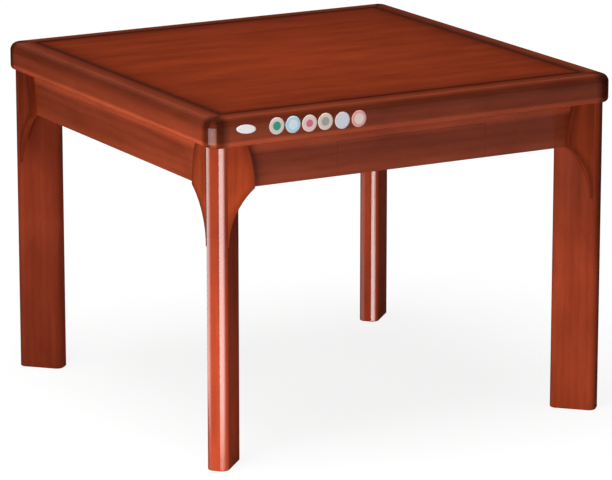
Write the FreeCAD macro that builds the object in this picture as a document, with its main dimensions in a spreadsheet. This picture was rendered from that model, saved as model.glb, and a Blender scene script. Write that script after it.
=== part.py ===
import FreeCAD, Part
import Sketcher
import math
import os

# Square game table in millimetres, +Z up, origin on the floor below the middle of the top.
# A thick mitred rim holds a lift-out top panel; four aprons hang below it, each with a flush drawer;
# four board legs stand on the diagonals, with two knee blocks each.

document = FreeCAD.newDocument("game_table")

# Driving dimensions
SIZES = {
    # Overall
    "table_side": 980,
    "table_height": 750,
    # Rim: four mitred rails with a rebate for the board and the panel
    "rim_height": 62,
    "rim_top_width": 52,
    "rim_ledge_width": 33,
    "rim_corner_radius": 29,
    "rim_top_radius": 18,
    "rim_bottom_radius": 10,
    # Lift-out panel with baize below it, and the fixed board that it lies on
    "panel_thickness": 18,
    "panel_gap": 1,
    "panel_chamfer": 3.5,
    "baize_thickness": 2,
    "baize_margin": 4,
    "board_thickness": 14,
    "board_gap": 0.5,
    # Aprons
    "apron_recess": 23,
    "apron_height": 92,
    "apron_thickness": 22,
    "apron_edge_radius": 2,
    # Legs, set on the diagonals
    "leg_width": 102,
    "leg_thickness": 46,
    "leg_corner_setback": 25.5,
    "leg_edge_radius": 15.5,
    "leg_foot_radius": 2,
    # Knee blocks
    "knee_recess": 10,
    "knee_reach": 108,
    "knee_top_reach": 92,
    "knee_drop": 118,
    "knee_tip_width": 5,
    "knee_edge_radius": 3,
    # Corner braces and the bolts that hold the legs
    "brace_thickness": 26,
    "brace_height": 66,
    "brace_drop": 8,
    "bolt_diameter": 8,
    "bolt_spacing": 34,
    "bolt_depth": 42,
    "bolt_reach": 12,
    "bolt_clearance": 0.15,
    "washer_diameter": 22,
    "washer_thickness": 2,
    "nut_radius": 7.5,
    "nut_height": 6.5,
    # Angle brackets between aprons and rim
    "bracket_leg": 30,
    "bracket_width": 18,
    "bracket_thickness": 2.5,
    "screw_diameter": 4,
    "screw_length": 16,
    "screw_head_diameter": 8,
    "screw_head_height": 2.4,
    "screw_clearance": 0.25,
    # Drawers
    "drawer_width": 360,
    "drawer_reveal": 0.5,
    "drawer_face_height": 74,
    "drawer_corner_gap": 16.3,
    "drawer_lift": 14,
    "drawer_finger_bevel": 8,
    "drawer_side_inset": 18,
    "drawer_side_height": 58,
    "drawer_side_thickness": 10,
    "drawer_bottom_thickness": 5,
    "drawer_bottom_rise": 6,
    "drawer_groove_depth": 4,
    "drawer_groove_fit": 0.2,
    # Drawer guides
    "guide_web_thickness": 16,
    "guide_ledge_height": 10,
    "guide_side_clearance": 0.7,
    "guide_height_clearance": 0.4,
    "guide_stop_gap": 0.3,
    "guide_screw_length": 34,
    "guide_screw_inset": 40,
    # Length by which cuts run past what they cut
    "overrun": 5,
}

# Places that follow from the driving dimensions
PLACES = {
    "half_side": "Size.table_side / 2",
    "rim_bottom": "Size.table_height - Size.rim_height",
    "panel_edge": "half_side - Size.rim_top_width",
    "ledge_edge": "panel_edge - Size.rim_ledge_width",
    "panel_bottom": "Size.table_height - Size.panel_thickness",
    "baize_bottom": "panel_bottom - Size.baize_thickness",
    "board_bottom": "baize_bottom - Size.board_thickness",
    "apron_bottom": "rim_bottom - Size.apron_height",
    "apron_face": "half_side - Size.apron_recess",
    "apron_back": "apron_face - Size.apron_thickness",
    "leg_outer": "half_side * sqrt(2) - Size.leg_corner_setback",
    "leg_inner": "leg_outer - Size.leg_width",
    "leg_flank": "Size.leg_thickness / sqrt(2)",
    "knee_face": "half_side - Size.knee_recess",
    "knee_bottom": "apron_bottom - Size.knee_drop",
    "knee_end": "half_side - Size.knee_reach",
    "knee_top_end": "half_side - Size.knee_top_reach",
    "knee_tip": "knee_face - leg_flank - Size.knee_tip_width",
    "brace_inner": "leg_inner - Size.brace_thickness",
    "brace_end": "brace_inner * sqrt(2) - apron_back",
    "brace_bottom": "rim_bottom - Size.brace_drop - Size.brace_height",
    "brace_middle": "brace_bottom + Size.brace_height / 2",
    "bolt_hole_radius": "Size.bolt_diameter / 2 + Size.bolt_clearance",
    "bracket_screw_offset": "(Size.bracket_leg + Size.bracket_thickness) / 2",
    "drawer_half": "Size.drawer_width / 2",
    "face_top": "apron_bottom + Size.drawer_face_height",
    "notch_half": "drawer_half + Size.drawer_reveal",
    "notch_top": "face_top + Size.drawer_reveal",
    "box_half": "drawer_half - Size.drawer_side_inset",
    "box_inner": "box_half - Size.drawer_side_thickness",
    "side_bottom": "apron_bottom + Size.drawer_lift",
    "side_top": "side_bottom + Size.drawer_side_height",
    "groove_bottom": "side_bottom + Size.drawer_bottom_rise",
    "groove_top": "groove_bottom + Size.drawer_bottom_thickness + Size.drawer_groove_fit",
    "groove_half": "box_inner + Size.drawer_groove_depth",
    "channel_wall": "box_half + Size.guide_side_clearance",
    "channel_bottom": "side_bottom - Size.guide_height_clearance",
    "channel_top": "side_top + Size.guide_height_clearance",
    "guide_outer": "channel_wall + Size.guide_web_thickness",
    "box_end": "guide_outer + Size.drawer_corner_gap",
    "bracket_middle": "(guide_outer + brace_end) / 2",
    "guide_bottom": "channel_bottom - Size.guide_ledge_height",
    "guide_front": "apron_back - Size.guide_stop_gap",
    "guide_middle": "(box_inner + guide_outer) / 2",
}

# Turns about the upright axis, in degrees
QUARTER_TURN = 90
SIDES = ("front", "right", "back", "left")
SIDE_ANGLES = {side: place * QUARTER_TURN for place, side in enumerate(SIDES)}
CORNERS = ("back_right", "back_left", "front_left", "front_right")
CORNER_ANGLES = {corner: (place + 0.5) * QUARTER_TURN for place, corner in enumerate(CORNERS)}

# Distance within which an edge counts as lying at a place
TOLERANCE = 1e-4


def fill_sheet(name, rows, prefix=""):
    sheet = document.addObject("Spreadsheet::Sheet", name)
    for row, (alias, content) in enumerate(rows.items(), start=1):
        sheet.set(f"A{row}", alias)
        sheet.set(f"B{row}", f"{prefix}{content}")
        sheet.setAlias(f"B{row}", alias)
    document.recompute()
    return sheet


fill_sheet("Size", SIZES)
place_sheet = fill_sheet("Place", PLACES, "=")


def value(expression):
    return float(place_sheet.evalExpression(expression))


def bind(thing, **expressions):
    for name, expression in expressions.items():
        thing.setExpression(name.replace("__", "."), expression)


def put(thing, turn, x, y, z, tilt=FreeCAD.Rotation()):
    """Set a thing down at x, y, z and turn the whole about the table's upright axis."""
    upright = FreeCAD.Rotation(FreeCAD.Vector(0, 0, 1), turn)
    thing.Placement = FreeCAD.Placement(FreeCAD.Vector(), upright * tilt)
    bind(
        thing,
        Placement__Base__x=f"({x}) * cos({turn} deg) - ({y}) * sin({turn} deg)",
        Placement__Base__y=f"({x}) * sin({turn} deg) + ({y}) * cos({turn} deg)",
        Placement__Base__z=z,
    )
    return thing


# Sub-parts that are written out, in the order in which they are made
subparts = []


def new_body(label, turn=0):
    body = document.addObject("PartDesign::Body", label)
    body.Label = label
    body.Placement.Rotation = FreeCAD.Rotation(FreeCAD.Vector(0, 0, 1), turn)
    return body


def new_sketch(body, role, offset="0"):
    """A sketch on one of the body's own planes, moved along that plane's normal."""
    plane = next(feature for feature in body.Origin.OriginFeatures if feature.Role == role)
    sketch = body.newObject("Sketcher::SketchObject", "Sketch")
    sketch.AttachmentSupport = (plane, [""])
    sketch.MapMode = "FlatFace"
    bind(sketch, AttachmentOffset__Base__z=offset)
    return sketch


def fix_point(sketch, edge, end, x, y):
    for kind, expression in (("DistanceX", x), ("DistanceY", y)):
        number = sketch.addConstraint(Sketcher.Constraint(kind, -1, 1, edge, end, value(expression)))
        sketch.setExpression(f"Constraints[{number}]", expression)


def arc_between(start, end, radius, left):
    """Arc of less than a half circle; left says on which side of start to end its centre lies."""
    middle = (start + end) / 2
    chord = end - start
    rise = math.sqrt(radius**2 - (chord.Length / 2) ** 2)
    normal = FreeCAD.Vector(-chord.y, chord.x, 0).normalize()
    centre = middle + normal * (rise if left else -rise)
    first, last = (start, end) if left else (end, start)
    angles = [math.atan2(p.y - centre.y, p.x - centre.x) for p in (first, last)]
    circle = Part.Circle(centre, FreeCAD.Vector(0, 0, 1), radius)
    return Part.ArcOfCircle(circle, angles[0], angles[1])


def outline(sketch, points, arcs=None):
    """Closed outline; arcs gives, for the edge that starts at a point, its radius and centre side."""
    arcs = arcs or {}
    corners = [FreeCAD.Vector(value(x), value(y), 0) for x, y in points]
    ends = []
    for index, start in enumerate(corners):
        end = corners[(index + 1) % len(corners)]
        if index in arcs:
            radius, left = arcs[index]
            edge = sketch.addGeometry(arc_between(start, end, value(radius), left), False)
            number = sketch.addConstraint(Sketcher.Constraint("Radius", edge, value(radius)))
            sketch.setExpression(f"Constraints[{number}]", radius)
            ends.append((1, 2) if left else (2, 1))
        else:
            sketch.addGeometry(Part.LineSegment(start, end), False)
            ends.append((1, 2))
    for index, point in enumerate(points):
        before = index - 1 if index else len(points) - 1
        joint = Sketcher.Constraint("Coincident", before, ends[before][1], index, ends[index][0])
        sketch.addConstraint(joint)
        fix_point(sketch, index, ends[index][0], *point)
    return sketch


def square(sketch, half):
    return outline(sketch, [(f"-{half}", f"-{half}"), (half, f"-{half}"), (half, half), (f"-{half}", half)])


def rectangle(sketch, low_x, high_x, low_y, high_y):
    return outline(sketch, [(low_x, low_y), (high_x, low_y), (high_x, high_y), (low_x, high_y)])


def span(hand, low, high):
    """The limits of a stretch on the right, for hand 1, or of its mirror image on the left, for hand -1."""
    return (low, high) if hand > 0 else (f"-({high})", f"-({low})")


def circles(sketch, centres, radius):
    for edge, (x, y) in enumerate(centres):
        circle = Part.Circle(FreeCAD.Vector(value(x), value(y), 0), FreeCAD.Vector(0, 0, 1), value(radius))
        sketch.addGeometry(circle, False)
        number = sketch.addConstraint(Sketcher.Constraint("Radius", edge, value(radius)))
        sketch.setExpression(f"Constraints[{number}]", radius)
        fix_point(sketch, edge, 3, x, y)
    return sketch


def pad(body, sketch, length):
    feature = body.newObject("PartDesign::Pad", "Pad")
    feature.Profile = sketch
    bind(feature, Length=length)
    document.recompute()
    return feature


def pocket(body, sketch, depth=None, along_normal=False):
    """Cut a sketch out, against its normal unless told otherwise, right through unless given a depth."""
    before = body.Shape.Volume
    feature = body.newObject("PartDesign::Pocket", "Pocket")
    feature.Profile = sketch
    feature.Reversed = along_normal
    if depth is None:
        feature.Type = "ThroughAll"
    else:
        bind(feature, Length=depth)
    document.recompute()
    if body.Shape.Volume >= before:
        raise RuntimeError(f"a cut in {body.Label} removes nothing")
    return feature


def finish_edges(body, kind, size_name, size, wanted):
    """Round or chamfer the edges of the body's last feature that pass the test."""
    base = body.Tip
    names = [f"Edge{n}" for n, edge in enumerate(base.Shape.Edges, start=1) if wanted(edge)]
    if not names:
        raise RuntimeError(f"{body.Label} has no edge to finish")
    feature = body.newObject(kind, "Finish")
    feature.Base = (base, names)
    bind(feature, **{size_name: size})
    document.recompute()
    return feature


def fillet(body, radius, wanted):
    return finish_edges(body, "PartDesign::Fillet", "Radius", radius, wanted)


def chamfer(body, size, wanted):
    return finish_edges(body, "PartDesign::Chamfer", "Size", size, wanted)


def lies_at(edge, axis, level):
    """Whether an edge lies wholly at one level along Y or Z."""
    low, high = {
        "y": (edge.BoundBox.YMin, edge.BoundBox.YMax),
        "z": (edge.BoundBox.ZMin, edge.BoundBox.ZMax),
    }[axis]
    return abs(low - level) < TOLERANCE and abs(high - level) < TOLERANCE


def lies_within(edge, half):
    """Whether an edge lies inside the square of that half side about the upright axis."""
    extent = edge.BoundBox
    return max(-extent.XMin, extent.XMax, -extent.YMin, extent.YMax) < half + TOLERANCE


def is_upright(edge):
    return edge.BoundBox.XLength < TOLERANCE and edge.BoundBox.YLength < TOLERANCE


def round_lower_edge(body):
    """Ease the lower edge of an apron's or a drawer's face."""
    face = -value("Place.apron_face")
    bottom = value("Place.apron_bottom")
    fillet(
        body,
        "Size.apron_edge_radius",
        lambda edge: lies_at(edge, "y", face) and lies_at(edge, "z", bottom),
    )


def box(label, turn, low, high):
    """A plain board between two corners, turned about the upright axis."""
    piece = document.addObject("Part::Box", label)
    piece.Label = label
    sizes = [f"({top}) - ({bottom})" for bottom, top in zip(low, high)]
    bind(piece, Length=sizes[0], Width=sizes[1], Height=sizes[2])
    return put(piece, turn, *low)


def rod(radius, length, turn, x, y, z, tilt=FreeCAD.Rotation()):
    piece = document.addObject("Part::Cylinder", "Rod")
    bind(piece, Radius=radius, Height=length)
    return put(piece, turn, x, y, z, tilt)


def group(label, members):
    """Like fasteners as separate solids under one name."""
    compound = document.addObject("Part::Compound", label)
    compound.Label = label
    compound.Links = members
    return compound


OUTWARD = FreeCAD.Rotation(FreeCAD.Vector(0, 1, 0), 90)
TOWARDS_FACE = FreeCAD.Rotation(FreeCAD.Vector(1, 0, 0), 90)
DOWNWARD = FreeCAD.Rotation(FreeCAD.Vector(1, 0, 0), 180)


# Rim rail: one side of the moulded frame, rebated inside and mitred at both ends
def rim_rail(side, turn):
    body = new_body(f"rim_rail_{side}", turn)
    slab = square(new_sketch(body, "XY_Plane", "Place.rim_bottom"), "Place.half_side")
    pad(body, slab, "Size.rim_height")
    fillet(body, "Size.rim_corner_radius", is_upright)
    top = value("Size.table_height")
    bottom = value("Place.rim_bottom")
    fillet(body, "Size.rim_top_radius", lambda edge: lies_at(edge, "z", top))
    fillet(body, "Size.rim_bottom_radius", lambda edge: lies_at(edge, "z", bottom))
    rebate = square(new_sketch(body, "XY_Plane", "Size.table_height"), "Place.panel_edge")
    pocket(body, rebate, "Size.table_height - Place.board_bottom")
    opening = square(new_sketch(body, "XY_Plane", "Size.table_height"), "Place.ledge_edge")
    pocket(body, opening)
    edge_line = value("Place.panel_edge")
    chamfer(
        body,
        "Size.panel_chamfer",
        lambda edge: lies_at(edge, "z", top) and lies_within(edge, edge_line),
    )
    reach = "(Place.half_side + Size.overrun)"
    other_sides = outline(
        new_sketch(body, "XY_Plane", "Size.table_height"),
        [("0", "0"), (reach, f"-{reach}"), (reach, reach), (f"-{reach}", reach), (f"-{reach}", f"-{reach}")],
    )
    pocket(body, other_sides)
    return body


# Apron: a board with both ends cut to the sides of the legs and a notch below for the drawer
def apron(side, turn):
    body = new_body(f"apron_{side}", turn)
    plan = outline(
        new_sketch(body, "XY_Plane", "Place.apron_bottom"),
        [
            ("-(Place.apron_face - Place.leg_flank)", "-Place.apron_face"),
            ("Place.apron_face - Place.leg_flank", "-Place.apron_face"),
            ("Place.apron_back - Place.leg_flank", "-Place.apron_back"),
            ("-(Place.apron_back - Place.leg_flank)", "-Place.apron_back"),
        ],
    )
    pad(body, plan, "Size.apron_height")
    notch = rectangle(
        new_sketch(body, "XZ_Plane"),
        "-Place.notch_half",
        "Place.notch_half",
        "Place.apron_bottom - Size.overrun",
        "Place.notch_top",
    )
    pocket(body, notch, along_normal=True)
    round_lower_edge(body)
    return body


# Leg: a board set on the diagonal, with all four upright edges well rounded
def leg(corner, turn):
    body = new_body(f"leg_{corner}", turn)
    section = rectangle(
        new_sketch(body, "XY_Plane"),
        "Place.leg_inner",
        "Place.leg_outer",
        "-Size.leg_thickness / 2",
        "Size.leg_thickness / 2",
    )
    pad(body, section, "Place.rim_bottom")
    fillet(body, "Size.leg_edge_radius", is_upright)
    fillet(body, "Size.leg_foot_radius", lambda edge: lies_at(edge, "z", 0))
    holes = new_sketch(body, "YZ_Plane", "Place.leg_inner")
    circles(holes, bolt_places(), "Place.bolt_hole_radius")
    pocket(body, holes, "Size.bolt_depth", along_normal=True)
    return body


def bolt_places():
    heights = [f"Place.brace_middle + ({sign}) * Size.bolt_spacing / 2" for sign in (-1, 1)]
    return [("0", height) for height in heights]


# Knee block: covers an apron's end beside the leg, bellies out and sweeps down into the leg
def knee_block(side, turn, end, hand):
    body = new_body(f"knee_block_{side}_{end}", turn)

    def across(expression):
        return f"({hand}) * ({expression})"

    section = outline(
        new_sketch(body, "XY_Plane", "Place.knee_bottom"),
        [
            (across("Place.knee_face - Place.leg_flank"), "-Place.knee_face"),
            (across("Place.knee_end"), "-Place.knee_face"),
            (across("Place.knee_end"), "-Place.apron_face"),
            (across("Place.apron_face - Place.leg_flank"), "-Place.apron_face"),
        ],
    )
    pad(body, section, "Place.rim_bottom - Place.knee_bottom")
    belly = "(Place.knee_top_end - Place.knee_end)"
    sweep = "(Place.knee_tip - Place.knee_end)"
    outer = across("Place.knee_end - Size.overrun")
    waste = outline(
        new_sketch(body, "XZ_Plane"),
        [
            (across("Place.knee_top_end"), "Place.rim_bottom"),
            (across("Place.knee_end"), "Place.apron_bottom"),
            (across("Place.knee_tip"), "Place.knee_bottom"),
            (outer, "Place.knee_bottom"),
            (outer, "Place.rim_bottom"),
        ],
        {
            0: (f"({belly} ^ 2 + Size.apron_height ^ 2) / (2 * {belly})", hand > 0),
            1: (f"({sweep} ^ 2 + Size.knee_drop ^ 2) / (2 * {sweep})", hand < 0),
        },
    )
    pocket(body, waste, along_normal=True)
    face = -value("Place.knee_face")
    fillet(
        body,
        "Size.knee_edge_radius",
        lambda edge: lies_at(edge, "y", face) and edge.Curve.TypeId == "Part::GeomCircle",
    )
    return body


# Corner brace: a block across the corner, between the two aprons and against the leg
def corner_brace(corner, turn):
    body = new_body(f"corner_brace_{corner}", turn)
    outer_half = "(Place.apron_back * sqrt(2) - Place.leg_inner)"
    inner_half = "(Place.apron_back * sqrt(2) - Place.brace_inner)"
    plan = outline(
        new_sketch(body, "XY_Plane", "Place.brace_bottom"),
        [
            ("Place.leg_inner", f"-{outer_half}"),
            ("Place.leg_inner", outer_half),
            ("Place.brace_inner", inner_half),
            ("Place.brace_inner", f"-{inner_half}"),
        ],
    )
    pad(body, plan, "Size.brace_height")
    holes = new_sketch(body, "YZ_Plane", "Place.brace_inner")
    circles(holes, bolt_places(), "Place.bolt_hole_radius")
    pocket(body, holes, along_normal=True)
    return body


def drilled(label, blank, thickness, turn, x, y, z):
    """A washer's or nut's blank with the bolt's hole through it."""
    piece = document.addObject("Part::Cut", label)
    piece.Base = blank
    piece.Tool = rod("Place.bolt_hole_radius", thickness, turn, x, y, z, OUTWARD)
    return piece


# Hanger bolts through the braces into the legs, each with a washer and a nut
def leg_fasteners():
    bolts = []
    washers = []
    nuts = []
    bolt_x = "Place.brace_inner - Size.bolt_reach"
    bolt_length = "Size.bolt_reach + Size.brace_thickness + Size.bolt_depth"
    washer_x = "Place.brace_inner - Size.washer_thickness"
    nut_x = f"{washer_x} - Size.nut_height"
    for turn in CORNER_ANGLES.values():
        for y, z in bolt_places():
            bolts.append(rod("Size.bolt_diameter / 2", bolt_length, turn, bolt_x, y, z, OUTWARD))

            disc = rod("Size.washer_diameter / 2", "Size.washer_thickness", turn, washer_x, y, z, OUTWARD)
            washers.append(drilled("Washer", disc, "Size.washer_thickness", turn, washer_x, y, z))

            hexagon = document.addObject("Part::Prism", "Hexagon")
            hexagon.Polygon = 6
            bind(hexagon, Circumradius="Size.nut_radius", Height="Size.nut_height")
            put(hexagon, turn, nut_x, y, z, OUTWARD)
            nuts.append(drilled("Nut", hexagon, "Size.nut_height", turn, nut_x, y, z))
    return [group("leg_bolts", bolts), group("leg_washers", washers), group("leg_nuts", nuts)]


# Angle bracket: a bent steel strip in the angle of apron and rim, with a hole in each leg
def rim_bracket(turn, hand):
    body = new_body("Bracket", turn)
    start = f"({hand}) * Place.bracket_middle - Size.bracket_width / 2"
    inner = "-Place.apron_back"
    profile = outline(
        new_sketch(body, "YZ_Plane", start),
        [
            (inner, "Place.rim_bottom"),
            (inner, "Place.rim_bottom - Size.bracket_leg"),
            (f"{inner} + Size.bracket_thickness", "Place.rim_bottom - Size.bracket_leg"),
            (f"{inner} + Size.bracket_thickness", "Place.rim_bottom - Size.bracket_thickness"),
            (f"{inner} + Size.bracket_leg", "Place.rim_bottom - Size.bracket_thickness"),
            (f"{inner} + Size.bracket_leg", "Place.rim_bottom"),
        ],
    )
    pad(body, profile, "Size.bracket_width")
    middle = f"({hand}) * Place.bracket_middle"
    hole = "Size.screw_diameter / 2 + Size.screw_clearance"
    upper = new_sketch(body, "XY_Plane", "Place.rim_bottom")
    circles(upper, [(middle, f"{inner} + Place.bracket_screw_offset")], hole)
    pocket(body, upper, "Size.bracket_thickness")
    lower = new_sketch(body, "XZ_Plane", "Place.apron_back")
    circles(lower, [(middle, "Place.rim_bottom - Place.bracket_screw_offset")], hole)
    pocket(body, lower, "Size.bracket_thickness")
    return body


def bracket_screw(turn, x, y, z, tilt, head_tilt):
    screw = document.addObject("Part::Fuse", "Screw")
    screw.Base = rod("Size.screw_diameter / 2", "Size.screw_length", turn, x, y, z, tilt)
    screw.Tool = rod("Size.screw_head_diameter / 2", "Size.screw_head_height", turn, x, y, z, head_tilt)
    return screw


def rim_brackets():
    brackets = []
    screws = []
    level = "Place.rim_bottom - Size.bracket_thickness"
    upright = FreeCAD.Rotation()
    inward = FreeCAD.Rotation(FreeCAD.Vector(1, 0, 0), -90)
    for turn in SIDE_ANGLES.values():
        for hand in (-1, 1):
            brackets.append(rim_bracket(turn, hand))
            x = f"({hand}) * Place.bracket_middle"
            y = "-Place.apron_back + Place.bracket_screw_offset"
            screws.append(bracket_screw(turn, x, y, level, upright, DOWNWARD))
            y = "-Place.apron_back + Size.bracket_thickness"
            z = "Place.rim_bottom - Place.bracket_screw_offset"
            screws.append(bracket_screw(turn, x, y, z, TOWARDS_FACE, inward))
    return [group("rim_brackets", brackets), group("bracket_screws", screws)]


# Drawer guide: a hanging board with a channel that carries the drawer's side and keeps it from tipping
def drawer_guide(turn, hand):
    body = new_body("Guide", turn)
    inner = "Place.box_inner" if hand > 0 else "-Place.guide_outer"
    profile = outline(
        new_sketch(body, "YZ_Plane", inner),
        [
            ("-Place.guide_front", "Place.guide_bottom"),
            ("-Place.box_end", "Place.guide_bottom"),
            ("-Place.box_end", "Place.board_bottom"),
            ("-Place.ledge_edge", "Place.board_bottom"),
            ("-Place.ledge_edge", "Place.rim_bottom"),
            ("-Place.guide_front", "Place.rim_bottom"),
        ],
    )
    pad(body, profile, "Place.guide_outer - Place.box_inner")
    channel = rectangle(
        new_sketch(body, "XZ_Plane"),
        *span(hand, "Place.box_inner - Size.overrun", "Place.channel_wall"),
        "Place.channel_bottom",
        "Place.channel_top",
    )
    pocket(body, channel, along_normal=True)
    return body


def guide_screw(turn, x, y):
    top = "Place.baize_bottom"
    screw = document.addObject("Part::Fuse", "Screw")
    screw.Base = rod("Size.screw_diameter / 2", "Size.guide_screw_length", turn, x, y, top, DOWNWARD)
    head = document.addObject("Part::Cone", "Head")
    bind(
        head,
        Radius1="Size.screw_head_diameter / 2",
        Radius2="Size.screw_diameter / 2",
        Height="Size.screw_head_height",
    )
    screw.Tool = put(head, turn, x, y, top, DOWNWARD)
    return screw


def drawer_guides():
    groups = []
    screws = []
    for side, turn in SIDE_ANGLES.items():
        groups.append(group(f"drawer_guides_{side}", [drawer_guide(turn, hand) for hand in (-1, 1)]))
        for hand in (-1, 1):
            x = f"({hand}) * Place.guide_middle"
            screws.append(guide_screw(turn, x, "-Place.ledge_edge + Size.guide_screw_inset"))
            screws.append(guide_screw(turn, x, "-Place.box_end - Size.guide_screw_inset"))
    return groups + [group("guide_screws", screws)]


# Drawer face: flush with the apron, bevelled behind its lower edge for the fingers, grooved for the bottom
def drawer_face(side, turn):
    body = new_body(f"drawer_{side}_face", turn)
    profile = outline(
        new_sketch(body, "YZ_Plane", "-Place.drawer_half"),
        [
            ("-Place.apron_face", "Place.apron_bottom"),
            ("-Place.apron_back - Size.drawer_finger_bevel", "Place.apron_bottom"),
            ("-Place.apron_back", "Place.apron_bottom + Size.drawer_finger_bevel"),
            ("-Place.apron_back", "Place.face_top"),
            ("-Place.apron_face", "Place.face_top"),
        ],
    )
    pad(body, profile, "Size.drawer_width")
    groove = rectangle(
        new_sketch(body, "YZ_Plane", "-Place.groove_half"),
        "-Place.apron_back - Size.drawer_groove_depth",
        "-Place.apron_back + Size.overrun",
        "Place.groove_bottom",
        "Place.groove_top",
    )
    pocket(body, groove, "2 * Place.groove_half", along_normal=True)
    round_lower_edge(body)
    return body


# Drawer side: a plain board with a groove inside for the bottom
def drawer_side(side, turn, end, hand):
    body = new_body(f"drawer_{side}_side_{end}", turn)
    plan = rectangle(
        new_sketch(body, "XY_Plane", "Place.side_bottom"),
        *span(hand, "Place.box_inner", "Place.box_half"),
        "-Place.apron_back",
        "-Place.box_end",
    )
    pad(body, plan, "Size.drawer_side_height")
    groove = rectangle(
        new_sketch(body, "XZ_Plane"),
        *span(hand, "Place.box_inner - Size.overrun", "Place.groove_half"),
        "Place.groove_bottom",
        "Place.groove_top",
    )
    pocket(body, groove, along_normal=True)
    return body


def drawer(side, turn):
    bottom_half = "(Place.groove_half - Size.drawer_groove_fit)"
    bottom_top = "Place.groove_bottom + Size.drawer_bottom_thickness"
    rear = box(
        f"drawer_{side}_rear",
        turn,
        ("-Place.box_inner", "-Place.box_end - Size.drawer_side_thickness", bottom_top),
        ("Place.box_inner", "-Place.box_end", "Place.side_top"),
    )
    bottom = box(
        f"drawer_{side}_bottom",
        turn,
        (
            f"-{bottom_half}",
            "-Place.apron_back - Size.drawer_groove_depth + Size.drawer_groove_fit",
            "Place.groove_bottom",
        ),
        (bottom_half, "-Place.box_end", bottom_top),
    )
    return [
        drawer_face(side, turn),
        drawer_side(side, turn, "left", -1),
        drawer_side(side, turn, "right", 1),
        rear,
        bottom,
    ]


# Lift-out top panel, its baize and the board below
def top_panel():
    body = new_body("top_panel")
    half = "(Place.panel_edge - Size.panel_gap)"
    pad(body, square(new_sketch(body, "XY_Plane", "Place.panel_bottom"), half), "Size.panel_thickness")
    top = value("Size.table_height")
    chamfer(body, "Size.panel_chamfer", lambda edge: lies_at(edge, "z", top))
    return body


def flat_square(label, half, low, high):
    return box(label, 0, (f"-({half})", f"-({half})", low), (half, half, high))


for rail_side, rail_turn in SIDE_ANGLES.items():
    subparts.append(rim_rail(rail_side, rail_turn))
board_half = "Place.panel_edge - Size.board_gap"
subparts.append(flat_square("base_board", board_half, "Place.board_bottom", "Place.baize_bottom"))
baize_half = "Place.panel_edge - Size.panel_gap - Size.baize_margin"
subparts.append(flat_square("top_baize", baize_half, "Place.baize_bottom", "Place.panel_bottom"))
subparts.append(top_panel())
for apron_side, apron_turn in SIDE_ANGLES.items():
    subparts.append(apron(apron_side, apron_turn))
    subparts.append(knee_block(apron_side, apron_turn, "left", -1))
    subparts.append(knee_block(apron_side, apron_turn, "right", 1))
for leg_corner, leg_turn in CORNER_ANGLES.items():
    subparts.append(leg(leg_corner, leg_turn))
    subparts.append(corner_brace(leg_corner, leg_turn))
subparts += leg_fasteners()
subparts += rim_brackets()
subparts += drawer_guides()
for drawer_name, drawer_turn in SIDE_ANGLES.items():
    subparts += drawer(drawer_name, drawer_turn)

document.recompute()
for item in document.Objects:
    if "Invalid" in item.State or "Error" in item.State:
        raise RuntimeError(f"{item.Label} failed: {item.State}")
for piece in subparts:
    if piece.Shape.isNull() or not piece.Shape.isValid():
        raise RuntimeError(f"{piece.Label} has no valid shape")

os.makedirs("parts", exist_ok=True)
for piece in subparts:
    piece.Shape.exportStep(f"parts/{piece.Label}.step")
print(f"{len(subparts)} sub-parts, {sum(len(piece.Shape.Solids) for piece in subparts)} solids")
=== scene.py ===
import math

import bmesh
import bpy
from mathutils import Matrix, Vector


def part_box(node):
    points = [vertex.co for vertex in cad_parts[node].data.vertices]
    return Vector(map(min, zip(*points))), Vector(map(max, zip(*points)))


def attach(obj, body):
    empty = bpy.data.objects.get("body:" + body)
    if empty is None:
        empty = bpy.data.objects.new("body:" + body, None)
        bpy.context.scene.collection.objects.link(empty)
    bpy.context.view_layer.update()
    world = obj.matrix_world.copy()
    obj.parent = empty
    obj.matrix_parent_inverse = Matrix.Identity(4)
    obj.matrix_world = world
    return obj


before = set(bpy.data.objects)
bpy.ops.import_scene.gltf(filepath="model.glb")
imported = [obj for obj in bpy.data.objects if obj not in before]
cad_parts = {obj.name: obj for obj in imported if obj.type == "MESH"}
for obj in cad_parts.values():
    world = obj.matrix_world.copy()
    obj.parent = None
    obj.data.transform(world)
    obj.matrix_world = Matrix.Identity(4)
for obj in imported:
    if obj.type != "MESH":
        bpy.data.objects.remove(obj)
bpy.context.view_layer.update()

# Rim: four moulded rails of straight-grained hardwood, mitred and glued at the corners.
# The wood is stained red-brown and sprayed with clear gloss lacquer. The grain runs along each rail.
# Its colour is lighter along the lower rounded edge, which is painted light, and darker along the groove,
# which is painted shade. It is darker beside the corners, with a painted highlight on the crest of each
# corner, and darkest along the upper rounded edge.
SIDES = ("front", "right", "back", "left")
GRAIN_TURNS = {
    "along_x": (0, 0, 0),
    "along_y": (0, 0, math.radians(-90)),
    "upright": (0, math.radians(90), 0),
}
GRAIN_OF_SIDE = {"front": "along_x", "back": "along_x", "left": "along_y", "right": "along_y"}


def node(tree, kind, inputs, **settings):
    """Shader node with its sockets set, or linked where a socket is given."""
    made = tree.nodes.new(f"ShaderNode{kind}")
    for name, setting in settings.items():
        setattr(made, name, setting)
    for name, content in inputs.items():
        if isinstance(content, bpy.types.NodeSocket):
            tree.links.new(content, made.inputs[name])
        else:
            made.inputs[name].default_value = content
    return made


def calculate(tree, operation, *operands):
    return node(tree, "Math", dict(enumerate(operands)), operation=operation).outputs["Value"]


def ramp(tree, factor, stops):
    """Colour ramp through (place, colour) stops."""
    made = node(tree, "ValToRGB", {"Fac": factor})
    elements = made.color_ramp.elements
    while len(elements) < len(stops):
        elements.new(0.5)
    for element, (place, colour) in zip(elements, stops):
        element.position = place
        element.color = (*colour, 1)
    return made.outputs["Color"]


def blend(tree, kind, amount, first, second):
    inputs = {"Fac": amount, "Color1": first, "Color2": second}
    return node(tree, "MixRGB", inputs, blend_type=kind).outputs["Color"]


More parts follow.
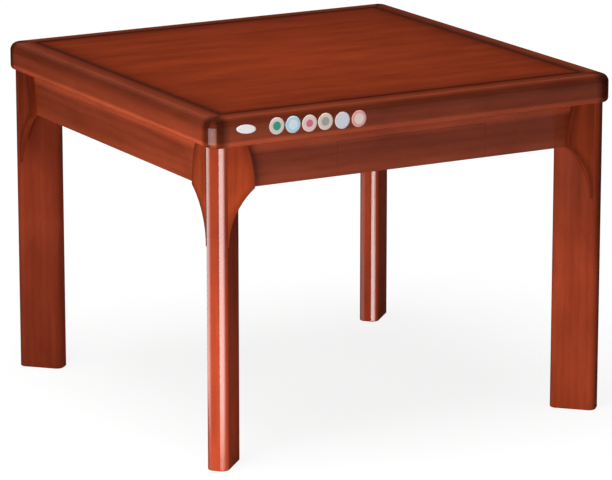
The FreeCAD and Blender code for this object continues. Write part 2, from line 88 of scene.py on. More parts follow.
def follow(tree, measure, stops):
    """Level along a measure, by (place, level) stops."""
    low, high = stops[0][0], stops[-1][0]
    run = node(tree, "MapRange", {"Value": measure, "From Min": low, "From Max": high})
    greys = [((place - low) / (high - low), (level, level, level)) for place, level in stops]
    return ramp(tree, run.outputs["Result"], greys)


def shade(tree, colour, measure, stops):
    """Darken a colour along a measure, by (place in metres, brightness) stops."""
    return blend(tree, "MULTIPLY", 1, colour, follow(tree, measure, stops))


def grain_noise(tree, grain, along, across, detail):
    """Noise drawn out along the grain; along and across are features per metre."""
    stretch = node(tree, "Mapping", {"Vector": grain, "Scale": (along, across, across)})
    inputs = {"Vector": stretch.outputs["Vector"], "Scale": 1, "Detail": detail, "Distortion": 0.3}
    return node(tree, "TexNoise", inputs).outputs["Fac"]


def new_material(name):
    material = bpy.data.materials.new(name)
    material.use_nodes = True
    tree = material.node_tree
    place = node(tree, "TexCoord", {}).outputs["Object"]
    return material, tree, tree.nodes["Principled BSDF"], place


UNCHANGED = (1, 1, 1)
RING_SHADE = ((0, (0.62, 0.56, 0.52)), (0.55, UNCHANGED))
BLOTCH_SHADE = ((0.3, (0.72, 0.68, 0.66)), (0.5, UNCHANGED), (0.7, (1.25, 1.3, 1.3)))
BLOTCHING = 0.5
PORE_SHADE = ((0.33, (0.4, 0.34, 0.3)), (0.46, UNCHANGED))
PORE_RELIEF = 0.25
PORE_DEPTH = 0.0003


def wood_figure(tree, shader, place, turn, tones, figure):
    """Colour of wood with streaks, growth rings, blotches and fine pores; figure is its contrast."""
    grain = node(tree, "Mapping", {"Vector": place, "Rotation": GRAIN_TURNS[turn]}).outputs["Vector"]
    deep, middle, pale = tones
    streaks = grain_noise(tree, grain, along=1.6, across=24, detail=5)
    colour = ramp(tree, streaks, [(0.25, deep), (0.5, middle), (0.75, pale)])

    drawn_out = node(tree, "Mapping", {"Vector": grain, "Scale": (0.12, 1, 1)}).outputs["Vector"]
    ring_inputs = {"Vector": drawn_out, "Scale": 19, "Distortion": 5, "Detail": 3, "Detail Scale": 1.6}
    rings = node(tree, "TexWave", ring_inputs, wave_type="RINGS", rings_direction="X").outputs["Fac"]
    colour = blend(tree, "MULTIPLY", figure, colour, ramp(tree, rings, RING_SHADE))

    blotches = grain_noise(tree, grain, along=7, across=22, detail=3)
    colour = blend(tree, "MULTIPLY", BLOTCHING, colour, ramp(tree, blotches, BLOTCH_SHADE))

    pores = grain_noise(tree, grain, along=45, across=1300, detail=2)
    colour = blend(tree, "MULTIPLY", figure, colour, ramp(tree, pores, PORE_SHADE))
    relief = {"Height": pores, "Strength": PORE_RELIEF * figure, "Distance": PORE_DEPTH}
    bump = node(tree, "Bump", relief)
    tree.links.new(bump.outputs["Normal"], shader.inputs["Normal"])
    return colour


def lacquer(tree, shader, place):
    """Clear gloss coat over stained wood, which is a little uneven from the spray gun."""
    shader.inputs["Specular IOR Level"].default_value = 0
    shader.inputs["Coat Weight"].default_value = 1
    shader.inputs["Coat Roughness"].default_value = 0.1
    mist = node(tree, "TexNoise", {"Vector": place, "Scale": 14, "Detail": 3}).outputs["Fac"]
    spread = {"Value": mist, "From Min": 0.3, "From Max": 0.7, "To Min": 0.45, "To Max": 0.65}
    tree.links.new(node(tree, "MapRange", spread).outputs["Result"], shader.inputs["Roughness"])


def plan_distances(tree, place):
    """Greater and lesser distance from the two upright middle planes of the table, and the height."""
    parts = node(tree, "SeparateXYZ", {"Vector": place}).outputs
    across = [calculate(tree, "ABSOLUTE", parts[axis]) for axis in ("X", "Y")]
    return calculate(tree, "MAXIMUM", *across), calculate(tree, "MINIMUM", *across), parts["Z"]


def dress(name, material):
    """Give a CAD node its finish."""
    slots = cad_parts[name].data.materials
    slots.clear()
    slots.append(material)


RED_BROWN = ((0.4, 0.064, 0.023), (0.47, 0.078, 0.03), (0.53, 0.093, 0.037))
# Brightness by height on the rim: the lower rounded edge is kept lightest, which is painted light; the
# upper rounded edge is darkest.
RIM_HEIGHT_PAINTED_LIGHT = (
    (0.688, 1),
    (0.6975, 1),
    (0.703, 0.6),
    (0.725, 0.51),
    (0.735, 0.33),
    (0.743, 0.24),
    (0.7475, 0.36),
    (0.75, 0.54),
)
# Painted shade of the groove between rim and top panel, on the rim's top.
RIM_GROOVE_PAINTED_SHADE = ((0.438, 0.22), (0.4415, 0.28), (0.446, 0.6), (0.456, 0.85), (0.466, 1))
MITRE_TONES = ((0, 0.35), (0.0006, 0.5), (0.0012, 1))
# Darker beside the corners, with a painted highlight on the crest of each corner.
RIM_CORNER_DARKENING_AND_PAINTED_HIGHLIGHT = ((0.444, 1), (0.462, 0.34), (0.473, 0.3), (0.479, 0.75), (0.4815, 0.9))


def rim_finish_with_painted_light(turn):
    material, tree, shader, place = new_material(f"rim_{turn}")
    colour = wood_figure(tree, shader, place, turn, RED_BROWN, figure=0.22)
    outward, corner, height = plan_distances(tree, place)
    colour = shade(tree, colour, height, RIM_HEIGHT_PAINTED_LIGHT)
    colour = shade(tree, colour, outward, RIM_GROOVE_PAINTED_SHADE)
    colour = shade(tree, colour, corner, RIM_CORNER_DARKENING_AND_PAINTED_HIGHLIGHT)
    colour = shade(tree, colour, calculate(tree, "SUBTRACT", outward, corner), MITRE_TONES)
    tree.links.new(colour, shader.inputs["Base Color"])
    lacquer(tree, shader, place)
    return material


rim_materials = {turn: rim_finish_with_painted_light(turn) for turn in ("along_x", "along_y")}
for side in SIDES:
    dress(f"rim_rail_{side}", rim_materials[GRAIN_OF_SIDE[side]])

# Base board: a square of plywood at the bottom of the rim's rebate, glued to its ledge and unfinished.
# Its faces show rotary-cut veneer and its edges the crossed layers.
PALE_VENEER = ((0.46, 0.3, 0.16), (0.56, 0.39, 0.22), (0.65, 0.47, 0.29))


def upward(tree, vector):
    """Upward part of a vector, which is the height of a place."""
    return node(tree, "SeparateXYZ", {"Vector": vector}).outputs["Z"]


def plywood(name, layer_thickness):
    material, tree, shader, place = new_material(name)
    face = wood_figure(tree, shader, place, "along_x", PALE_VENEER, figure=0.6)
    layer = calculate(tree, "PINGPONG", upward(tree, place), layer_thickness)
    layer = calculate(tree, "DIVIDE", layer, layer_thickness)
    edge = ramp(tree, layer, [(0.35, (0.3, 0.18, 0.09)), (0.55, (0.58, 0.42, 0.25))])
    normal = node(tree, "TexCoord", {}).outputs["Normal"]
    flatness = calculate(tree, "ABSOLUTE", upward(tree, normal))
    tree.links.new(blend(tree, "MIX", flatness, edge, face), shader.inputs["Base Color"])
    shader.inputs["Roughness"].default_value = 0.75
    shader.inputs["Specular IOR Level"].default_value = 0.25
    return material


dress("base_board", plywood("board_plywood", layer_thickness=0.0028))

# Top panel: a veneered board that drops into the rim, chamfered all round so that a V-groove shows.
# It is stained like the rim and lacquered. Its colour is lightest in the middle and darker towards its
# edge, and darkest beside the V-groove, which is painted shade of the groove.
PANEL_TONES = ((0.315, 0.04, 0.0105), (0.345, 0.0445, 0.0115), (0.375, 0.05, 0.013))
# Lightest in the middle and darker outwards; the last stops are painted shade beside the groove.
PANEL_EDGE_DARKENING_AND_GROOVE_SHADE = (
    (0, 1),
    (0.1, 0.98),
    (0.25, 0.84),
    (0.34, 0.82),
    (0.395, 0.74),
    (0.42, 0.6),
    (0.431, 0.45),
    (0.434, 0.22),
    (0.437, 0.18),
)
material, tree, shader, place = new_material("panel_veneer")
colour = wood_figure(tree, shader, place, "along_x", PANEL_TONES, figure=0.16)
outward, _, _ = plan_distances(tree, place)
colour = shade(tree, colour, outward, PANEL_EDGE_DARKENING_AND_GROOVE_SHADE)
tree.links.new(colour, shader.inputs["Base Color"])
lacquer(tree, shader, place)
dress("top_panel", material)

# Baize: a green wool cloth glued to the underside of the top panel, which is the playing side.
# It is felted, with short fibres that catch the light at a low angle.
material, tree, shader, place = new_material("baize")
fibre_inputs = {"Vector": place, "Scale": 900, "Detail": 4, "Roughness": 0.7}
fibres = node(tree, "TexNoise", fibre_inputs).outputs["Fac"]
clouds = node(tree, "TexNoise", {"Vector": place, "Scale": 9, "Detail": 3}).outputs["Fac"]
colour = ramp(tree, fibres, [(0.3, (0.008, 0.075, 0.035)), (0.7, (0.02, 0.16, 0.075))])
tint = ramp(tree, clouds, [(0.35, (0.82, 0.86, 0.82)), (0.65, (1, 1, 1))])
tree.links.new(blend(tree, "MULTIPLY", 1, colour, tint), shader.inputs["Base Color"])
bump = node(tree, "Bump", {"Height": fibres, "Strength": 0.6, "Distance": 0.0006})
tree.links.new(bump.outputs["Normal"], shader.inputs["Normal"])
shader.inputs["Roughness"].default_value = 0.95
shader.inputs["Specular IOR Level"].default_value = 0.15
shader.inputs["Sheen Weight"].default_value = 0.2
shader.inputs["Sheen Tint"].default_value = (0.3, 0.75, 0.5, 1)
dress("top_baize", material)

# Aprons and drawer fronts: boards below the rim, set back from its face and held by angle brackets.
# Each drawer front is sawn from the middle of its apron, so the grain runs through; both are
# stained and lacquered like the rim. Their colour is lightest along the top, just below the rim, which is
# painted light, and lighter at the bottom than in the middle.
# Painted light along the top of the apron, just below the rim; lighter at the bottom than in the middle.
APRON_HEIGHT_PAINTED_LIGHT = ((0.596, 0.7), (0.64, 0.56), (0.665, 0.57), (0.676, 0.9), (0.688, 1))


def apron_finish_with_painted_light(turn):
    material, tree, shader, place = new_material(f"apron_{turn}")
    colour = wood_figure(tree, shader, place, turn, RED_BROWN, figure=0.22)
    colour = shade(tree, colour, upward(tree, place), APRON_HEIGHT_PAINTED_LIGHT)
    tree.links.new(colour, shader.inputs["Base Color"])
    lacquer(tree, shader, place)
    return material


apron_materials = {turn: apron_finish_with_painted_light(turn) for turn in ("along_x", "along_y")}
for side in SIDES:
    dress(f"apron_{side}", apron_materials[GRAIN_OF_SIDE[side]])
    dress(f"drawer_{side}_face", apron_materials[GRAIN_OF_SIDE[side]])

# Knee blocks: thick blocks glued over the apron ends, two at each leg, bandsawn to their curve.
# Their grain is upright, like that of the legs, and takes the stain more orange. Painted shade darkens
# them at the top below the rim, along the sawn edge and in the corner beside the leg.
KNEE_WOOD = ((0.36, 0.046, 0.014), (0.43, 0.06, 0.018), (0.5, 0.074, 0.023))
# Painted shade at the top of the knee blocks, below the rim.
KNEE_HEIGHT_PAINTED_SHADE = (
    (0.478, 0.82),
    (0.6, 0.81),
    (0.625, 0.79),
    (0.645, 0.75),
    (0.664, 0.69),
    (0.688, 0.68),
)
# Painted shade along the sawn edge of the knee blocks.
KNEE_EDGE_PAINTED_SHADE = ((0, 0.55), (0.007, 0.68), (0.022, 1))
# Painted shade in the corner beside the leg, and the heights at which it is painted.
KNEE_LEG_PAINTED_SHADE = ((0.42, 1), (0.43, 0.9), (0.445, 0.83))
KNEE_LEG_SHADE_SHARE = ((0.478, 0), (0.57, 0), (0.6, 1), (0.688, 1))
KNEE_TOP, KNEE_BELLY, KNEE_TIP = (0.398, 0.688), (0.382, 0.596), (0.4425, 0.478)
KNEE_STEPS = 12


def knee_edge(height):
    """Distance of the sawn edge from the middle of its side: two arcs, both upright at their lower end."""
    upper, lower = (KNEE_TOP, KNEE_BELLY) if height > KNEE_BELLY[1] else (KNEE_BELLY, KNEE_TIP)
    (far, high), (near, low) = upper, lower
    run, rise = far - near, high - low
    radius = (run**2 + rise**2) / (2 * abs(run))
    bow = radius - math.sqrt(radius**2 - (height - low) ** 2)
    return near + math.copysign(bow, run)


material, tree, shader, place = new_material("knee_wood")
colour = wood_figure(tree, shader, place, "upright", KNEE_WOOD, figure=0.2)
_, along, height = plan_distances(tree, place)
colour = shade(tree, colour, height, KNEE_HEIGHT_PAINTED_SHADE)
shade_beside_leg = follow(tree, along, KNEE_LEG_PAINTED_SHADE)
colour = blend(tree, "MULTIPLY", follow(tree, height, KNEE_LEG_SHADE_SHARE), colour, shade_beside_leg)
lowest, highest = KNEE_TIP[1], KNEE_TOP[1]
heights = [lowest + (highest - lowest) * step / KNEE_STEPS for step in range(KNEE_STEPS + 1)]
edge = follow(tree, height, [(level, knee_edge(level)) for level in heights])
colour = shade(tree, colour, calculate(tree, "SUBTRACT", along, edge), KNEE_EDGE_PAINTED_SHADE)
tree.links.new(colour, shader.inputs["Base Color"])
lacquer(tree, shader, place)
for side in SIDES:
    for hand in ("left", "right"):
        dress(f"knee_block_{side}_{hand}", material)

# Legs: hardwood boards on the diagonals of the top, with all their upright edges well rounded, each held
# by two hanger bolts. They are stained and lacquered like the rim. Three are darker near the top, which is
# painted shade beside the knee blocks, and lighter towards the foot, which is painted light; the back left
# one has its own painted light, lightest just below the knee blocks.
CORNERS = ("front_left", "front_right", "back_right", "back_left")
LEG_WOOD = ((0.34, 0.046, 0.0165), (0.4, 0.056, 0.02), (0.46, 0.068, 0.025))
# Painted light by height: painted shade near the top, beside the knee blocks, and lighter towards the
# foot.
LEG_HEIGHT_PAINTED_LIGHT = ((0, 1), (0.3, 0.95), (0.42, 0.78), (0.5, 0.64), (0.688, 0.72))
# The back left leg's own painted light: lightest just below the knee blocks.
BACK_LEFT_PAINTED_LIGHT = (
    (0, 0.92),
    (0.14, 0.9),
    (0.27, 1),
    (0.4, 1.18),
    (0.45, 1.14),
    (0.51, 0.97),
    (0.688, 0.86),
)


def leg_finish_with_painted_light(name, tones):
    material, tree, shader, place = new_material(name)
    colour = wood_figure(tree, shader, place, "upright", LEG_WOOD, figure=0.22)
    colour = shade(tree, colour, upward(tree, place), tones)
    tree.links.new(colour, shader.inputs["Base Color"])
    lacquer(tree, shader, place)
    return material


leg_material = leg_finish_with_painted_light("leg_wood", LEG_HEIGHT_PAINTED_LIGHT)
for corner in ("front_left", "front_right", "back_right"):
    dress(f"leg_{corner}", leg_material)
# The back left leg gets a copy of the leg wood with its own painted light.
dress("leg_back_left", leg_finish_with_painted_light("back_left_leg_painted_light", BACK_LEFT_PAINTED_LIGHT))

# Corner braces and drawer guides: plain hardwood, planed and left without finish.
# The braces are glued across the corners and bolted to the legs; the guides are screwed below the board.
PLAIN_TONES = ((0.3, 0.17, 0.085), (0.4, 0.25, 0.135), (0.5, 0.33, 0.19))


def plain_wood(name, turn, tones):
    material, tree, shader, place = new_material(name)
    colour = wood_figure(tree, shader, place, turn, tones, figure=0.7)
    tree.links.new(colour, shader.inputs["Base Color"])
    shader.inputs["Roughness"].default_value = 0.7
    shader.inputs["Specular IOR Level"].default_value = 0.3
    return material


brace_material = plain_wood("brace_wood", "along_x", PLAIN_TONES)
for corner in CORNERS:
    dress(f"corner_brace_{corner}", brace_material)
guide_material = plain_wood("guide_wood", "along_y", PLAIN_TONES)
guide_materials = {"along_x": brace_material, "along_y": guide_material}
GRAIN_OF_GUIDES = {"front": "along_y", "back": "along_y", "left": "along_x", "right": "along_x"}
for side in SIDES:
    dress(f"drawer_guides_{side}", guide_materials[GRAIN_OF_GUIDES[side]])

# Fasteners: hanger bolts with washers and nuts at the legs, angle brackets below the rim, and screws.
# All are steel with a bright zinc coat, blotched where the crystals of the coat differ.
material, tree, shader, place = new_material("zinc_steel")
crystals = node(tree, "TexVoronoi", {"Vector": place, "Scale": 420}).outputs["Color"]
grey = node(tree, "RGBToBW", {"Color": crystals}).outputs["Val"]
colour = ramp(tree, grey, [(0.2, (0.46, 0.47, 0.49)), (0.8, (0.64, 0.65, 0.67))])
tree.links.new(colour, shader.inputs["Base Color"])
spread = {"Value": grey, "To Min": 0.28, "To Max": 0.45}
tree.links.new(node(tree, "MapRange", spread).outputs["Result"], shader.inputs["Roughness"])
shader.inputs["Metallic"].default_value = 1
for name in ("leg_bolts", "leg_washers", "leg_nuts", "rim_brackets", "bracket_screws", "guide_screws"):
    dress(name, material)

# Drawer boxes: sides and rear of planed softwood with a clear sealer, glued to the drawer front.
# A thin plywood bottom lies in grooves in the sides and the front.
SOFTWOOD_TONES = ((0.5, 0.31, 0.15), (0.62, 0.42, 0.22), (0.7, 0.5, 0.3))
box_materials = {
    turn: plain_wood(f"box_{turn}", turn, SOFTWOOD_TONES) for turn in ("along_x", "along_y")
}
bottom_material = plywood("bottom_plywood", layer_thickness=0.00125)
for side in SIDES:
    for piece in ("side_left", "side_right"):
        dress(f"drawer_{side}_{piece}", box_materials[GRAIN_OF_GUIDES[side]])
    dress(f"drawer_{side}_rear", box_materials[GRAIN_OF_SIDE[side]])
    dress(f"drawer_{side}_bottom", bottom_material)

# Stickers: a blank white oval and six round discs of printed vinyl on the rim's front face.
# They are stuck on in a row and bend over the start of the rounded edge.
RIM_REACH = 0.49
ROUNDING_START = 0.732
ROUNDING = 0.018
STICKER_THICKNESS = 0.0004
STICKER_RINGS = 9
STICKER_SEGMENTS = 48
SAME_POINT = 1e-4
PRINT_BLUR = 0.03


def bend_over_rim(x, rise, lift):
    """Point on the rim's front, rise being the height measured along its surface."""
    if rise < ROUNDING_START:
        return Vector((x, -RIM_REACH - lift, rise))
    turn = (rise - ROUNDING_START) / ROUNDING
    radius = ROUNDING + lift
    y = -RIM_REACH + ROUNDING - radius * math.cos(turn)
    return Vector((x, y, ROUNDING_START + radius * math.sin(turn)))


def add_mesh(name, form, material):
    """Object at the origin, made from a finished bmesh."""
    mesh = bpy.data.meshes.new(name)
    form.to_mesh(mesh)
    form.free()
    mesh.materials.append(material)
    thing = bpy.data.objects.new(name, mesh)
    bpy.context.scene.collection.objects.link(thing)
    return thing


def sticker(name, x, rise, size, material, tilt=0):
    """Disc or oval on the rim's front; tilt is in degrees."""
    width, height = size
    form = bmesh.new()
    rings = [Vector((ring / STICKER_RINGS, 0, 1)) for ring in range(STICKER_RINGS + 1)]
    points = [form.verts.new(point) for point in rings + [Vector((1, 0, 0))]]
    lines = [form.edges.new(pair) for pair in zip(points, points[1:])]
    bmesh.ops.spin(
        form,
        geom=points + lines,
        cent=(0, 0, 0),
        axis=(0, 0, 1),
        angle=math.tau,
        steps=STICKER_SEGMENTS,
        use_merge=True,
    )
    bmesh.ops.remove_doubles(form, verts=form.verts, dist=SAME_POINT)
    bmesh.ops.recalc_face_normals(form, faces=form.faces)
    flat = form.loops.layers.uv.new("flat")
    for face in form.faces:
        for corner in face.loops:
            corner[flat].uv = corner.vert.co.xy
    turn = Matrix.Rotation(math.radians(tilt), 2)
    for vertex in form.verts:
        across, along, lift = vertex.co
        shift = turn @ Vector((across * width / 2, along * height / 2))
        vertex.co = bend_over_rim(x + shift.x, rise + shift.y, lift * STICKER_THICKNESS)
    thing = add_mesh(name, form, material)
    thing.data.shade_smooth()
    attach(thing, "frame")


def vinyl(name, middle, rim, edge):
    """Printed vinyl with a round field and a rim of another colour; edge is the field's radius."""
    material, tree, shader, place = new_material(name)
    flat = node(tree, "UVMap", {}, uv_map="flat").outputs["UV"]
    radius = node(tree, "VectorMath", {0: flat}, operation="LENGTH").outputs["Value"]
    stops = [(0, middle), (edge - PRINT_BLUR, middle), (edge + PRINT_BLUR, rim), (1, rim)]
    colour = ramp(tree, radius, stops)
    print_grain = node(tree, "TexNoise", {"Vector": place, "Scale": 700, "Detail": 3}).outputs["Fac"]
    tint = ramp(tree, print_grain, [(0.3, (0.9, 0.9, 0.9)), (0.7, (1, 1, 1))])
    tree.links.new(blend(tree, "MULTIPLY", 1, colour, tint), shader.inputs["Base Color"])
    shader.inputs["Roughness"].default_value = 0.4
    shader.inputs["Specular IOR Level"].default_value = 0.3
    return material


WHITE = (0.97, 0.94, 0.93)
OVAL_SIZE = (0.0455, 0.0185)
material = vinyl("vinyl_oval", middle=WHITE, rim=WHITE, edge=0.8)
sticker("sticker_oval", x=-0.4088, rise=0.7252, size=OVAL_SIZE, material=material, tilt=-6)
DISC_SIZE = (0.0355, 0.0355)
DISCS = (
    (-0.3374, 0.7242, (0.05, 0.36, 0.27), (0.76, 0.68, 0.63), 0.52),
    (-0.2994, 0.7232, (0.74, 0.91, 0.98), (0.55, 0.74, 0.86), 0.6),
    (-0.2606, 0.7216, (0.78, 0.18, 0.27), (0.9, 0.7, 0.62), 0.45),
    (-0.223, 0.7214, (0.46, 0.43, 0.41), (0.84, 0.73, 0.6), 0.52),
    (-0.1828, 0.7196, (0.78, 0.83, 0.92), (0.82, 0.76, 0.8), 0.74),
    (-0.1431, 0.719, (0.98, 0.79, 0.71), (0.9, 0.44, 0.42), 0.64),
)
for number, (x, rise, middle, rim, edge) in enumerate(DISCS, start=1):
    material = vinyl(f"vinyl_{number}", middle, rim, edge)
    sticker(f"sticker_disc_{number}", x, rise, DISC_SIZE, material)

# Floor: a wide sweep of white paper below the table. It throws light up at the table and keeps its
# soft shadow; the camera sees it lit through, so that it is nearly white.
FLOOR_REACH = 20


def add_stage(name, form, material):
    """Object of the studio, which isn't part of the table."""
    thing = add_mesh(name, form, material)
    return thing


material, tree, _, place = new_material("floor_paper")
rays = node(tree, "LightPath", {}).outputs
bounce = node(tree, "BsdfDiffuse", {"Color": (0.9, 0.9, 0.9, 1)}).outputs["BSDF"]
shadowed = node(tree, "BsdfDiffuse", {"Color": (0.15, 0.15, 0.15, 1)}).outputs["BSDF"]
away = node(tree, "VectorMath", {0: place}, operation="LENGTH").outputs["Value"]
spread = {"Value": away, "From Min": 0.4, "From Max": 3, "To Min": 0.86, "To Max": 1}
level = node(tree, "MapRange", spread).outputs["Result"]
glow = node(tree, "Emission", {"Strength": level}).outputs["Emission"]
shown = node(tree, "AddShader", {0: shadowed, 1: glow}).outputs["Shader"]
paper = node(tree, "MixShader", {0: rays["Is Camera Ray"], 1: bounce, 2: shown}).outputs["Shader"]
tree.links.new(paper, tree.nodes["Material Output"].inputs["Surface"])
form = bmesh.new()
bmesh.ops.create_grid(form, x_segments=1, y_segments=1, size=FLOOR_REACH)
floor = add_stage("floor", form, material)
floor.visible_glossy = False

# Backdrop: a white studio wall behind the table, lit so evenly that it shows no shade.
# It gives the table a dim light from all sides.
AMBIENT = 0.006
world = bpy.data.worlds.new("studio")
bpy.context.scene.world = world
world.use_nodes = True
tree = world.node_tree
rays = node(tree, "LightPath", {}).outputs
seen = calculate(tree, "ADD", rays["Is Camera Ray"], rays["Is Glossy Ray"])
seen = calculate(tree, "ADD", seen, rays["Is Transmission Ray"])
level = node(tree, "MapRange", {"Value": seen, "To Min": AMBIENT, "To Max": 1}).outputs["Result"]
tree.nodes["Background"].inputs["Color"].default_value = (1, 1, 1, 1)
tree.links.new(level, tree.nodes["Background"].inputs["Strength"])

# Surround: a dark sphere that shows only in the gloss of the lacquer, so that flat faces keep their
# colour. It is a little lighter at the height of the studio's back wall lamps.
SURROUND_REACH = 12
SURROUND_TONES = ((0, 0.015), (0.66, 0.01), (0.72, 0.06), (0.84, 0.06), (0.9, 0.01), (1, 0.01))


def add_to_gloss(name, form, material, surface):
    """Object of the studio that only gloss shows, with its surface shader."""
    tree = material.node_tree
    tree.links.new(surface, tree.nodes["Material Output"].inputs["Surface"])
    material.cycles.emission_sampling = "NONE"
    thing = add_stage(name, form, material)
    thing.visible_camera = False
    thing.visible_diffuse = False
    thing.visible_shadow = False
    thing.visible_transmission = False
    return thing


material, tree, _, place = new_material("surround")
span = {"Value": upward(tree, place), "From Min": -SURROUND_REACH, "From Max": SURROUND_REACH}
level = node(tree, "MapRange", span).outputs["Result"]
glow = node(tree, "Emission", {"Color": follow(tree, level, SURROUND_TONES)}).outputs["Emission"]
form = bmesh.new()
bmesh.ops.create_uvsphere(form, u_segments=48, v_segments=24, radius=SURROUND_REACH)
add_to_gloss("surround", form, material, glow)

# Flags: dark and grey cards held close to flat faces beside rounded edges, so that these faces don't
# mirror the lit cloth that gives the edges their highlights. Like the surround they show only in gloss.
FLAG_GAP = 0.004
DARK_CARD, GREY_CARD = 0.012, 0.16
LEG_FLAGS = (
    {"azimuth": 135, "reach": 0.027, "width": 0.071},
    {"azimuth": 225, "reach": 0.052, "width": 0.015},
    {"azimuth": 315, "reach": 0.027, "width": 0.071},
)
SIDE_FLAGS = {
    "rim_left": {"azimuth": 180, "bottom": 0.69, "top": 0.735, "length": 0.922, "level": DARK_CARD},
    "rim_front": {"azimuth": 270, "bottom": 0.69, "top": 0.735, "length": 0.922, "level": GREY_CARD},
    "apron_front": {"azimuth": 270, "bottom": 0.58, "top": 0.685, "length": 0.74, "level": GREY_CARD},
}


def outwards(azimuth):
    """Level direction at an azimuth, in degrees from +X."""
    turn = math.radians(azimuth)
    return Vector((math.cos(turn), math.sin(turn), 0))


def flag(name, middle, azimuth, width, height, level):
    """Upright card that faces an azimuth; level is its brightness."""
    material, tree, _, _ = new_material(name)
    glow = node(tree, "Emission", {"Strength": level}).outputs["Emission"]
    form = bmesh.new()
    bmesh.ops.create_grid(form, x_segments=1, y_segments=1, size=0.5)
    turn = Matrix.Rotation(math.radians(azimuth), 4, "Z") @ Matrix.Rotation(math.radians(90), 4, "Y")
    put = Matrix.Translation(middle) @ turn @ Matrix.Diagonal((height, width, 1, 1))
    bmesh.ops.transform(form, matrix=put, verts=form.verts)
    add_to_gloss(name, form, material, glow)


for corner in ("front_left", "back_right"):
    low, high = (Vector(point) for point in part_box(f"leg_{corner}"))
    for card in LEG_FLAGS:
        azimuth = card["azimuth"]
        middle = (low + high) / 2 + outwards(azimuth) * card["reach"]
        flag(f"flag_{corner}_{azimuth}", middle, azimuth, card["width"], high.z - low.z, DARK_CARD)
for name, card in SIDE_FLAGS.items():
    azimuth, bottom, top = card["azimuth"], card["bottom"], card["top"]
    middle = outwards(azimuth) * (FLAG_GAP + RIM_REACH) + Vector((0, 0, (top + bottom) / 2))
    flag(f"flag_{name}", middle, azimuth, card["length"], top - bottom, card["level"])

# Gloss rings: sheer cloth hung round the table and lit unevenly, which shows only in the lacquer of
# some pieces. One gives the near corner of the rim its highlight, and two the legs that stand edge-on.
RING_SEGMENTS = 64
LEG_STRIP = ((215, 0), (220, 1), (264, 1), (285, 0.4), (302, 0), (360, 0))
BACK_LEG_GLOSS = ((0, 0), (100, 0), (150, 0.12), (185, 0.12), (203, 0), *LEG_STRIP)
NEAR_LEG_GLOSS = (
    (0, 0),
    (80, 0),
    (105, 0.22),
    (145, 0.44),
    (162, 0.4),
    (176, 0.16),
    (192, 0),
    *LEG_STRIP,
)
CORNER_GLOSS = ((0, 0), (166, 0), (170, 0.9), (200, 1), (218, 1), (235, 0.55), (239, 0), (360, 0))


def shine_on(lamp, names, state="INCLUDE"):
    """Let a lamp or cloth light only some CAD nodes, or all but those."""
    receivers = bpy.data.collections.new(f"{lamp.name}_receivers")
    for name in names:
        receivers.objects.link(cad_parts[name])
    for entry in receivers.collection_objects:
        entry.light_linking.link_state = state
    lamp.light_linking.receiver_collection = receivers


def gloss_ring(name, reach, low, high, stops, strength, names):
    """Ring of sheer cloth between two heights, lit by (azimuth from +X in degrees, level) stops."""
    material, tree, _, place = new_material(name)
    parts = node(tree, "SeparateXYZ", {"Vector": place}).outputs
    turn = calculate(tree, "DEGREES", calculate(tree, "ARCTAN2", parts["Y"], parts["X"]))
    azimuth = calculate(tree, "WRAP", turn, 360, 0)
    level = follow(tree, azimuth, stops)
    glow = node(tree, "Emission", {"Color": level, "Strength": strength}).outputs["Emission"]
    clear = node(tree, "BsdfTransparent", {}).outputs["BSDF"]
    sheer = node(tree, "AddShader", {0: glow, 1: clear}).outputs["Shader"]
    form = bmesh.new()
    ends = [form.verts.new((reach, 0, height)) for height in (low, high)]
    bmesh.ops.spin(
        form,
        geom=ends + [form.edges.new(ends)],
        cent=(0, 0, 0),
        axis=(0, 0, 1),
        angle=math.tau,
        steps=RING_SEGMENTS,
        use_merge=True,
    )
    shine_on(add_to_gloss(name, form, material, sheer), names)


gloss_ring(
    "back_leg_ring",
    reach=9,
    low=-3.2,
    high=-1.2,
    stops=BACK_LEG_GLOSS,
    strength=12,
    names=["leg_back_right"],
)
gloss_ring(
    "near_leg_ring",
    reach=10,
    low=-2.85,
    high=-1.2,
    stops=NEAR_LEG_GLOSS,
    strength=12,
    names=["leg_front_left"],
)
gloss_ring(
    "corner_ring",
    reach=11,
    low=-1.9,
    high=-1.3,
    stops=CORNER_GLOSS,
    strength=4,
    names=["rim_rail_left", "rim_rail_front"],
)

# Lamps: a wide softbox above, tipped to the left, and a smaller one near the front left corner.
# Two low ones light legs and knee blocks, one of them the back leg alone, which stands in the table's
# shade. A low fill lights the back and the right side.
LAMP_AIM = Vector((0, 0, 0.4))


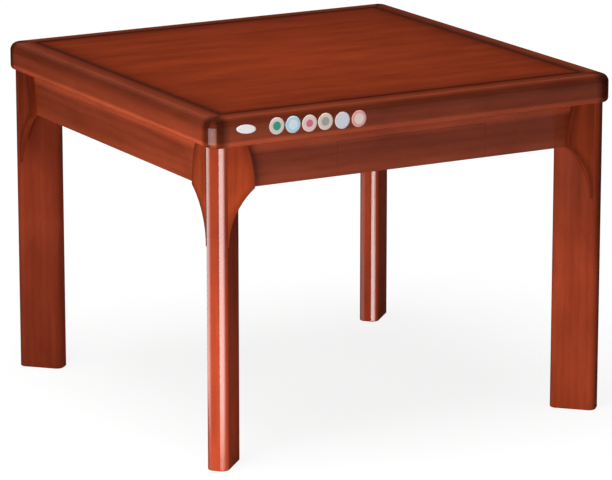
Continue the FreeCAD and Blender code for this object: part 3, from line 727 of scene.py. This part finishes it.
def soft_lamp(name, azimuth, elevation, distance, size, power):
    """Square softbox that faces the middle of the table; azimuth is measured from +X."""
    lamp = bpy.data.lights.new(name, "AREA")
    lamp.size = size
    lamp.energy = power
    thing = bpy.data.objects.new(name, lamp)
    bpy.context.scene.collection.objects.link(thing)
    lift = math.radians(elevation)
    outward = outwards(azimuth) * math.cos(lift) + Vector((0, 0, math.sin(lift)))
    thing.location = LAMP_AIM + outward * distance
    thing.rotation_euler = outward.to_track_quat("Z", "Y").to_euler()
    thing.visible_glossy = False
    thing.visible_camera = False
    return thing


LEGS = [f"leg_{corner}" for corner in CORNERS]
KNEES = [f"knee_block_{side}_{hand}" for side in SIDES for hand in ("left", "right")]
LOW_LIT = [name for name in LEGS if name != "leg_back_left"] + KNEES
top_softbox = soft_lamp("top_softbox", azimuth=200, elevation=78, distance=4, size=3.5, power=200)
shine_on(top_softbox, LOW_LIT, "EXCLUDE")
key_softbox = soft_lamp("key_softbox", azimuth=213, elevation=12, distance=2.4, size=1, power=28)
shine_on(key_softbox, LEGS + KNEES, "EXCLUDE")
leg_softbox = soft_lamp("leg_softbox", azimuth=229, elevation=-5, distance=1.85, size=0.4, power=20)
shine_on(leg_softbox, LOW_LIT)
back_softbox = soft_lamp("back_softbox", azimuth=245, elevation=0, distance=1, size=0.3, power=10)
shine_on(back_softbox, ["leg_back_right"])
FAR_PIECES = [f"{piece}_{side}" for piece in ("rim_rail", "apron") for side in ("right", "back")]
FAR_PIECES += [f"drawer_{side}_face" for side in ("right", "back")]
fill_softbox = soft_lamp("fill_softbox", azimuth=45, elevation=-3, distance=2.4, size=0.8, power=14)
shine_on(fill_softbox, FAR_PIECES + LEGS + KNEES)

# Camera: a long lens some eight metres from the front left corner, looking down at 14 degrees.
# Its place and angle were fitted to the outline of the table in the photograph.
CAMERA_PLACE = (-4.0592, -7.2292, 2.4028)
CAMERA_AZIMUTH = math.radians(-29.353)
CAMERA_ELEVATION = math.radians(13.999)
camera_data = bpy.data.cameras.new("camera")
camera_data.sensor_width = 36
camera_data.lens = 226.34
camera_data.clip_end = 100
camera = bpy.data.objects.new("camera", camera_data)
bpy.context.scene.collection.objects.link(camera)
camera.location = CAMERA_PLACE
backward = Vector((math.sin(CAMERA_AZIMUTH), -math.cos(CAMERA_AZIMUTH), math.tan(CAMERA_ELEVATION)))
camera.rotation_euler = backward.to_track_quat("Z", "Y").to_euler()
bpy.context.scene.camera = camera
bpy.context.scene.view_settings.view_transform = "Standard"
